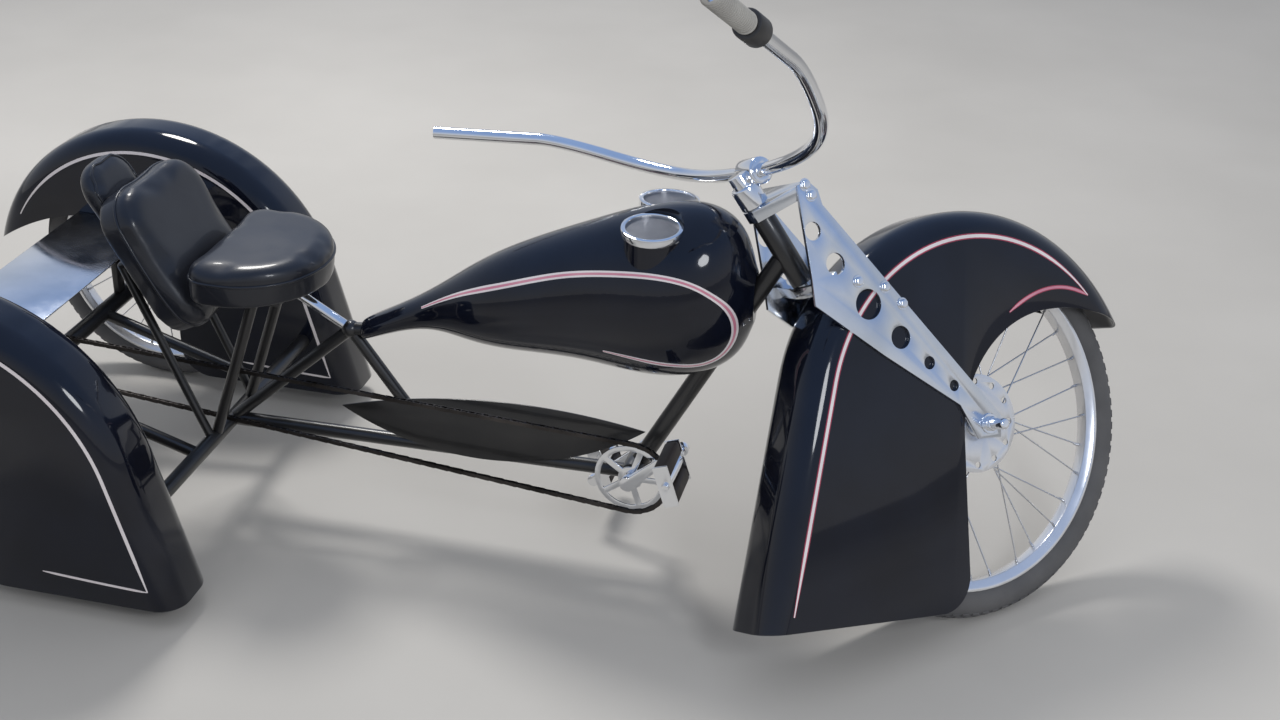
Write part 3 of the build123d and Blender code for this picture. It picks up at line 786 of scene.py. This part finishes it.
def addBar(s):
    sides = []
    for side in (-1, 1):
        rise, end = Vector(s["rise"]), Vector(s["end"])
        if side < 0:
            end += (end - rise).normalized() * s["reach"]       # the right arm runs on under its grip
        line = [Vector(s["middle"]), Vector(s["bend"]), rise]
        line += [rise.lerp(end, share) for share in s["straight"]] + [end]
        sides.append([place(crownTop.x - b, side * out, crownTop.z + up) for b, up, out in line])
    points = list(reversed(sides[0])) + sides[1]
    curve = bpy.data.curves.new("handlebar_smooth", "CURVE")
    curve.dimensions = "3D"
    curve.resolution_u = 24
    curve.bevel_depth = s["radius"] / 1000
    curve.bevel_resolution = s["rounds"]
    curve.use_fill_caps = True
    spline = curve.splines.new("NURBS")
    spline.points.add(len(points) - 1)
    for point, at in zip(spline.points, points):
        point.co = (*(steerSpin @ at), 1)
    spline.order_u = 3
    spline.use_endpoint_u = True
    bar = bpy.data.objects.new("handlebar_smooth", curve)
    scene.collection.objects.link(bar)
    pick(bar)
    bpy.ops.object.convert(target="MESH")
    smooth(bar, 40)
    dress(bar, "steering", "chrome", ["handlebar"])


addBar(barSet)

# Right grip's ribs
gripSet = {"ribs": 19, "rib": 0.0011, "ribLift": 0.0001, "firstRib": -0.40, "ribSpan": 0.84, "core": 0.0145,
           "length": 0.128, "edge": 0.003, "flange": 0.0158, "flangeLength": 0.004, "flangeEdge": 0.001}


def gripFrame():
    # The grip's middle, and its direction away from the control beside it
    co = [v.co for v in nodes["right_grip"].data.vertices]
    grip = sum(co, Vector()) / len(co)
    co = [v.co for v in nodes["control_block"].data.vertices]
    control = sum(co, Vector()) / len(co)
    return grip, (grip - control).normalized()


gripMid, gripOut = gripFrame()


def addGrip(s):
    deselect()
    bpy.ops.mesh.primitive_cylinder_add(vertices=40, radius=s["core"], depth=s["length"])
    core = bpy.context.object
    bevel(core, s["edge"], 3)
    parts = [core]
    for i in range(s["ribs"]):
        z = s["length"] * (s["firstRib"] + s["ribSpan"] * i / (s["ribs"] - 1))
        deselect()
        bpy.ops.mesh.primitive_torus_add(location=(0, 0, z), major_radius=s["core"] + s["ribLift"],
                                         minor_radius=s["rib"], major_segments=40, minor_segments=8)
        parts.append(bpy.context.object)
        applyPlace(parts[-1])
    deselect()
    bpy.ops.mesh.primitive_cylinder_add(vertices=40, radius=s["flange"], depth=s["flangeLength"],
                                        location=(0, 0, (s["flangeLength"] - s["length"]) / 2))
    parts.append(bpy.context.object)
    applyPlace(parts[-1])
    bevel(parts[-1], s["flangeEdge"])
    grip = joined(parts, "right_grip_ribbed")
    smooth(grip, 50)
    grip.data.transform(aligned(gripMid, gripOut))
    dress(grip, "steering", "grip_rubber", ["right_grip"])


addGrip(gripSet)

# Polished discs with a ring of holes beside the front hub
discSet = {"radius": 0.084, "thick": 0.003, "side": 0.0370, "holes": 12, "holeRadius": 0.0052,
           "holeRing": 0.071, "bore": 0.0225, "edge": 0.0006}


def addHubDiscs(s):
    deselect()
    bpy.ops.mesh.primitive_cylinder_add(vertices=72, radius=s["radius"], depth=s["thick"],
                                        rotation=(math.pi / 2, 0, 0))
    disc = bpy.context.object
    applyPlace(disc)
    cutters = []
    spots = [(s["holeRing"], 2 * math.pi * i / s["holes"], s["holeRadius"]) for i in range(s["holes"])]
    for ring, angle, radius in spots + [(0, 0, s["bore"])]:
        deselect()
        bpy.ops.mesh.primitive_cylinder_add(vertices=32, radius=radius, depth=4 * s["thick"],
                                            location=(ring * math.cos(angle), 0, ring * math.sin(angle)),
                                            rotation=(math.pi / 2, 0, 0))
        cutters.append(bpy.context.object)
        applyPlace(cutters[-1])
    cutter = joined(cutters, "cutter")
    cut = disc.modifiers.new("holes", "BOOLEAN")
    cut.operation = "DIFFERENCE"
    cut.object = cutter
    applyModifiers(disc)
    bpy.data.objects.remove(cutter)
    bevel(disc, s["edge"])
    parts = [stamped(disc, frontPlace @ Matrix.Translation((0, k * s["side"], 0)), "disc") for k in (-1, 1)]
    bpy.data.objects.remove(disc)
    discs = joined(parts, "front_hub_discs")
    smooth(discs, 30)
    dress(discs, "front_wheel", "rim_alloy")


addHubDiscs(discSet)

# Chrome sleeve on the stem, from and to being millimetres above the crown, and a wider clamp round the bar
sleeveSet = {"radius": 0.0235, "from": 12, "to": 50, "clampRadius": 0.0225, "clampHalf": 0.024,
             "edge": 0.003}


def addSleeve(s):
    low = Vector(onSteering(crownAlong + s["from"], 0, 0))
    high = Vector(onSteering(crownAlong + s["to"], 0, 0))
    middle = steerSpin @ place(*((low + high) / 2))
    deselect()
    bpy.ops.mesh.primitive_cylinder_add(vertices=48, radius=s["radius"], depth=(high - low).length / 1000)
    sleeve = bpy.context.object
    bevel(sleeve, s["edge"], 3)
    sleeve.data.transform(aligned(middle, steerAxis))
    deselect()
    bpy.ops.mesh.primitive_cylinder_add(vertices=48, radius=s["clampRadius"], depth=2 * s["clampHalf"])
    clamp = bpy.context.object
    bevel(clamp, s["edge"], 3)
    barBack, barUp = barSet["middle"][:2]
    bar = place(crownTop.x - barBack, 0, crownTop.z + barUp)
    clamp.data.transform(steerSpin @ aligned(bar, (0, 1, 0)))
    both = joined([sleeve, clamp], "stem_sleeve")
    smooth(both, 40)
    dress(both, "steering", "chrome")


addSleeve(sleeveSet)

# Chain of plates and rollers round the chainring and the sprocket
chainSet = {"pitch": 0.0127, "rear": 0.0440, "front": 0.0680, "side": 0.046, "plate": 0.0009,
            "half": 0.0022, "end": 0.0040, "roller": 0.0034, "corners": 12}


def addLink(s, outer):
    # Two plates with round ends, and the roller at the first of them
    parts = []
    for k in (-1, 1):
        deselect()
        bpy.ops.mesh.primitive_cylinder_add(vertices=s["corners"], radius=s["end"], depth=s["plate"],
                                            rotation=(math.pi / 2, 0, 0))
        plate = bpy.context.object
        applyPlace(plate)
        bpy.ops.object.mode_set(mode="EDIT")
        bpy.ops.mesh.select_all(action="DESELECT")
        mesh = bmesh.from_edit_mesh(plate.data)
        for v in mesh.verts:
            v.select = v.co.x > s["end"] * 0.1
        mesh.select_flush_mode()
        bmesh.update_edit_mesh(plate.data)
        bpy.ops.transform.translate(value=(s["pitch"], 0, 0))
        bpy.ops.object.mode_set(mode="OBJECT")
        plate.data.transform(Matrix.Translation((0, k * (s["half"] + (s["plate"] if outer else 0)), 0)))
        parts.append(plate)
    deselect()
    bpy.ops.mesh.primitive_cylinder_add(vertices=s["corners"], radius=s["roller"], depth=2 * s["half"],
                                        rotation=(math.pi / 2, 0, 0))
    parts.append(bpy.context.object)
    applyPlace(parts[-1])
    return joined(parts, "link")


def addChain(s):
    rear, front = rearMid.copy(), Vector(joints["crank_turn"]["pos_m"])
    rear.y = front.y
    gap = front - rear
    length, base = math.hypot(gap.x, gap.z), math.atan2(gap.z, gap.x)
    openAngle = math.acos((s["rear"] - s["front"]) / length)
    straight = length * math.sin(openAngle)
    turnFront = 2 * openAngle
    turnRear = 2 * math.pi - turnFront
    stretches = [straight, turnFront * s["front"], straight, turnRear * s["rear"]]
    count = int(sum(stretches) / s["pitch"] / 2) * 2
    pitch = sum(stretches) / count

    def spot(at):                        # where the chain's line is, so far along it
        for k, stretch in enumerate(stretches):
            if at <= stretch or k == 3:
                break
            at -= stretch
        if k in (0, 2):
            normal = base + (openAngle if k == 0 else -openAngle)
            first, radius = (rear, s["rear"]) if k == 0 else (front, s["front"])
            way = normal - math.pi / 2
            x = first.x + radius * math.cos(normal) + at * math.cos(way)
            z = first.z + radius * math.sin(normal) + at * math.sin(way)
            return x, z
        centre, radius = (front, s["front"]) if k == 1 else (rear, s["rear"])
        begin = base + openAngle if k == 1 else base - openAngle
        angle = begin - at / radius
        return centre.x + radius * math.cos(angle), centre.z + radius * math.sin(angle)

    links = [addLink(s, False), addLink(s, True)]
    parts = []
    for i in range(count):
        x, z = spot(i * pitch)
        nextX, nextZ = spot((i + 1) % count * pitch)
        angle = math.atan2(nextZ - z, nextX - x)
        turn = Matrix.Translation((x, front.y - s["side"], z)) @ Matrix.Rotation(-angle, 4, "Y")
        parts.append(stamped(links[i % 2], turn, "link"))
    for link in links:
        bpy.data.objects.remove(link)
    chain = joined(parts, "chain_links")
    smooth(chain, 30)
    dress(chain, "frame", "chain_steel", ["chain"])


addChain(chainSet)

# Long chrome caps over the front axle's ends, in millimetres
axleCapSet = {"from": 74, "corners": 40, "cap": dict(radius=9.5, length=40, edge=4),
              "collar": dict(radius=12.5, length=5, edge=1)}


def addAxleCaps(s):
    parts = []
    for side in (-1, 1):
        for p in (s["cap"], s["collar"]):
            deselect()
            bpy.ops.mesh.primitive_cylinder_add(vertices=s["corners"], radius=p["radius"] / 1000,
                                                depth=p["length"] / 1000)
            part = bpy.context.object
            bevel(part, p["edge"] / 1000, 4)
            at = Vector((0, side * (s["from"] + p["length"] / 2) / 1000, 0))
            part.data.transform(frontPlace @ aligned(at, (0, side, 0)))
            parts.append(part)
    caps = joined(parts, "axle_caps")
    smooth(caps, 40)
    dress(caps, "steering", "chrome")


addAxleCaps(axleCapSet)
print("bar, grip, hub discs, stem sleeve, chain and axle caps made")

# Floor, world and lamps, which stand at places in millimetres
floorSet = {"size": 60, "scale": 1.2, "one": (0.52, 0.51, 0.495), "other": (0.57, 0.56, 0.545), "rough": 0.85}


def addFloor(s):
    deselect()
    bpy.ops.mesh.primitive_plane_add(size=s["size"], location=(0, 0, 0))
    floor = bpy.context.object
    floor.name = "floor"
    mat = bpy.data.materials.new("paleFloor")
    mat.use_nodes = True
    tree = mat.node_tree
    shader = tree.nodes["Principled BSDF"]
    source = tree.nodes.new("ShaderNodeTexCoord").outputs["Object"]
    shade = placeGroup(tree, tint, source, {"Scale": s["scale"], "One": (*s["one"], 1),
                                            "Other": (*s["other"], 1)})
    tree.links.new(shade.outputs["Color"], shader.inputs["Base Color"])
    shader.inputs["Roughness"].default_value = s["rough"]
    floor.data.materials.append(mat)


worldSet = {"plain": (0.72, 0.73, 0.75), "strength": 0.72,
            "sky": ((0.0, (0.86, 0.86, 0.87)), (0.10, (0.78, 0.83, 0.92)), (0.65, (0.36, 0.53, 0.90)))}


def addWorld(s):
    # Plain pale light, with a paler sky for the camera and in reflections
    world = bpy.data.worlds.new("world")
    scene.world = world
    world.use_nodes = True
    tree = world.node_tree
    back = tree.nodes["Background"]
    source = tree.nodes.new("ShaderNodeTexCoord").outputs["Generated"]
    split = tree.nodes.new("ShaderNodeSeparateXYZ")
    ramp = tree.nodes.new("ShaderNodeValToRGB")
    path = tree.nodes.new("ShaderNodeLightPath")
    seen = tree.nodes.new("ShaderNodeMath")
    seen.operation = "MAXIMUM"
    mix = tree.nodes.new("ShaderNodeMix")
    mix.data_type = "RGBA"
    mix.inputs[6].default_value = (*s["plain"], 1)
    elements = ramp.color_ramp.elements
    while len(elements) < len(s["sky"]):
        elements.new(0.5)
    for element, (position, shade) in zip(elements, s["sky"]):
        element.position = position
        element.color = (*shade, 1)
    link = tree.links.new
    link(source, split.inputs["Vector"])
    link(split.outputs["Z"], ramp.inputs["Fac"])
    link(path.outputs["Is Camera Ray"], seen.inputs[0])
    link(path.outputs["Is Glossy Ray"], seen.inputs[1])
    link(seen.outputs["Value"], mix.inputs["Factor"])
    link(ramp.outputs["Color"], mix.inputs[7])
    link(mix.outputs[2], back.inputs["Color"])
    back.inputs["Strength"].default_value = s["strength"]


lampSet = {"key": dict(at=(-600, 1900, 3600), size=1.1, power=95, colour=(1.0, 0.97, 0.92)),
           "side": dict(at=(3300, -2600, 2600), size=1.0, power=34, colour=(0.95, 0.97, 1.0))}
lampAim = (800, 0, 300)


def addLamp(name, s):
    data = bpy.data.lights.new(name, "AREA")
    data.shape = "DISK"
    data.size = s["size"]
    data.energy = s["power"]
    data.color = s["colour"]
    lamp = bpy.data.objects.new(name, data)
    scene.collection.objects.link(lamp)
    at = place(*s["at"])
    aim = place(*lampAim) - at
    lamp.matrix_world = Matrix.Translation(at) @ aim.to_track_quat("-Z", "Y").to_matrix().to_4x4()


addFloor(floorSet)
addWorld(worldSet)
for name, s in lampSet.items():
    addLamp(name, s)
scene.view_settings.view_transform = "Standard"
print("floor, world and lamps made")
